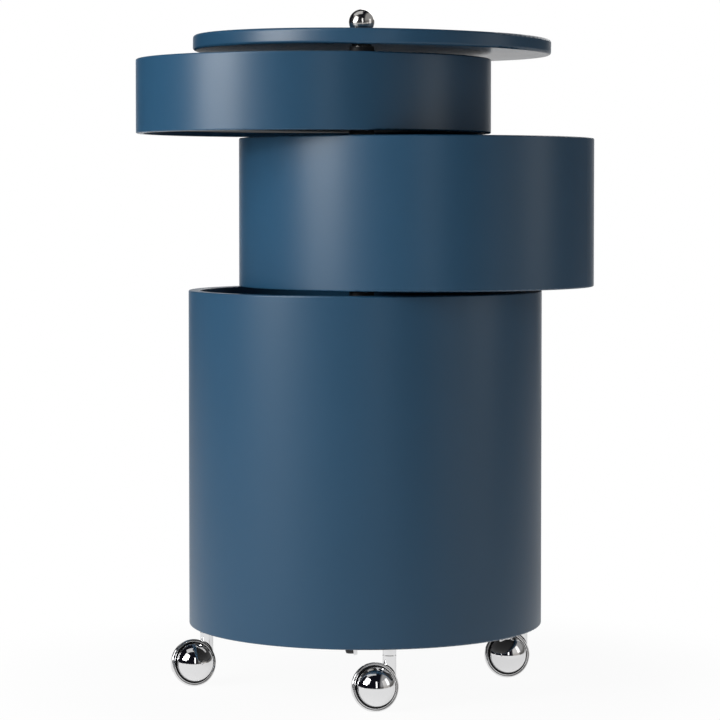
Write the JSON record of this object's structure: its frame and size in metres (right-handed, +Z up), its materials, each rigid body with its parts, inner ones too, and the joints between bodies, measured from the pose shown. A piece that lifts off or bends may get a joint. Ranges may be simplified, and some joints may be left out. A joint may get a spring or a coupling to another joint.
{
  "type": "rolling table",
  "caption": "Round trolley of open drums and a lid that swing about an upright rod over a deep base drum on swivelling ball casters.",
  "frame": {"origin": "on the floor under the axis of the base drum", "axes": "+Z up; the upright rod stands on the -Y side of the drum axis, towards the viewer in the picture; +X to the right in the picture"},
  "size_m": [0.4902, 0.3955, 0.7125],
  "materials": {
    "lacquer": "petrol blue satin lacquer",
    "lacquer_floor": "petrol blue satin lacquer, floors",
    "black_paint": "black powder coat",
    "nylon": "moulded black nylon",
    "brushed": "brushed steel",
    "chrome": "bright chrome plate",
    "zinc": "zinc plated steel"
  },
  "bodies": {
    "root": {"base_drum": "lacquer", "base_floor": "lacquer_floor", "base_pivot_tube": "black_paint", "base_tube_bush": "nylon", "base_tube_screws": "zinc", "pivot_rod": "brushed", "rod_washer": "zinc", "rod_nut": "zinc", "knob": "brushed", "low_washer": "nylon", "caster_sockets": "chrome", "socket_screws": "zinc"},
    "mid_tray": {"mid_drum": "lacquer", "mid_floor": "lacquer_floor", "mid_pivot_tube": "black_paint", "mid_tube_bushes": "nylon", "mid_tube_screws": "zinc", "mid_washer": "nylon"},
    "top_tray": {"top_drum": "lacquer", "top_floor": "lacquer_floor", "top_pivot_tube": "black_paint", "top_tube_bushes": "nylon", "top_tube_screws": "zinc", "top_washer": "nylon"},
    "lid": {"lid_panel": "lacquer", "lid_bush": "nylon"},
    "caster_front": {"caster_front_hood": "chrome", "caster_front_pin": "zinc", "caster_front_axle": "zinc"},
    "wheel_front": {"caster_front_rim": "chrome", "caster_front_core": "nylon", "caster_front_cap": "chrome"},
    "caster_right": {"caster_right_hood": "chrome", "caster_right_pin": "zinc", "caster_right_axle": "zinc"},
    "wheel_right": {"caster_right_rim": "chrome", "caster_right_core": "nylon", "caster_right_cap": "chrome"},
    "caster_rear": {"caster_rear_hood": "chrome", "caster_rear_pin": "zinc", "caster_rear_axle": "zinc"},
    "wheel_rear": {"caster_rear_rim": "chrome", "caster_rear_core": "nylon", "caster_rear_cap": "chrome"},
    "caster_left": {"caster_left_hood": "chrome", "caster_left_pin": "zinc", "caster_left_axle": "zinc"},
    "wheel_left": {"caster_left_rim": "chrome", "caster_left_core": "nylon", "caster_left_cap": "chrome"}
  },
  "joints": [
    {"name": "mid_tray_swing", "type": "hinge", "parent": "root", "child": "mid_tray", "pos_m": [0, -0.165, 0.427], "axis": [0, 0, 1], "continuous": true},
    {"name": "top_tray_swing", "type": "hinge", "parent": "root", "child": "top_tray", "pos_m": [0, -0.165, 0.59], "axis": [0, 0, 1], "continuous": true},
    {"name": "lid_swing", "type": "hinge", "parent": "root", "child": "lid", "pos_m": [0, -0.165, 0.6765], "axis": [0.0131, 0, 0.9999], "continuous": true},
    {"name": "caster_front_swivel", "type": "hinge", "parent": "root", "child": "caster_front", "pos_m": [0.02839, -0.16964, 0.0635], "axis": [0, 0, 1], "continuous": true},
    {"name": "caster_front_roll", "type": "hinge", "parent": "caster_front", "child": "wheel_front", "pos_m": [0.01398, -0.1825, 0.0247], "axis": [0.3426, -0.9162, 0.2079], "continuous": true},
    {"name": "caster_right_swivel", "type": "hinge", "parent": "root", "child": "caster_right", "pos_m": [0.16964, 0.02839, 0.0635], "axis": [0, 0, 1], "continuous": true},
    {"name": "caster_right_roll", "type": "hinge", "parent": "caster_right", "child": "wheel_right", "pos_m": [0.15407, 0.01697, 0.0247], "axis": [0.2532, -0.9448, 0.2079], "continuous": true},
    {"name": "caster_rear_swivel", "type": "hinge", "parent": "root", "child": "caster_rear", "pos_m": [-0.02839, 0.16964, 0.0635], "axis": [0, 0, 1], "continuous": true},
    {"name": "caster_rear_roll", "type": "hinge", "parent": "caster_rear", "child": "wheel_rear", "pos_m": [-0.01954, 0.15247, 0.0247], "axis": [0.9728, 0.1022, 0.2079], "continuous": true},
    {"name": "caster_left_swivel", "type": "hinge", "parent": "root", "child": "caster_left", "pos_m": [-0.16964, -0.02839, 0.0635], "axis": [0, 0, 1], "continuous": true},
    {"name": "caster_left_roll", "type": "hinge", "parent": "caster_left", "child": "wheel_left", "pos_m": [-0.1825, -0.0428, 0.0247], "axis": [0.4441, -0.8715, 0.2079], "continuous": true}
  ]
}
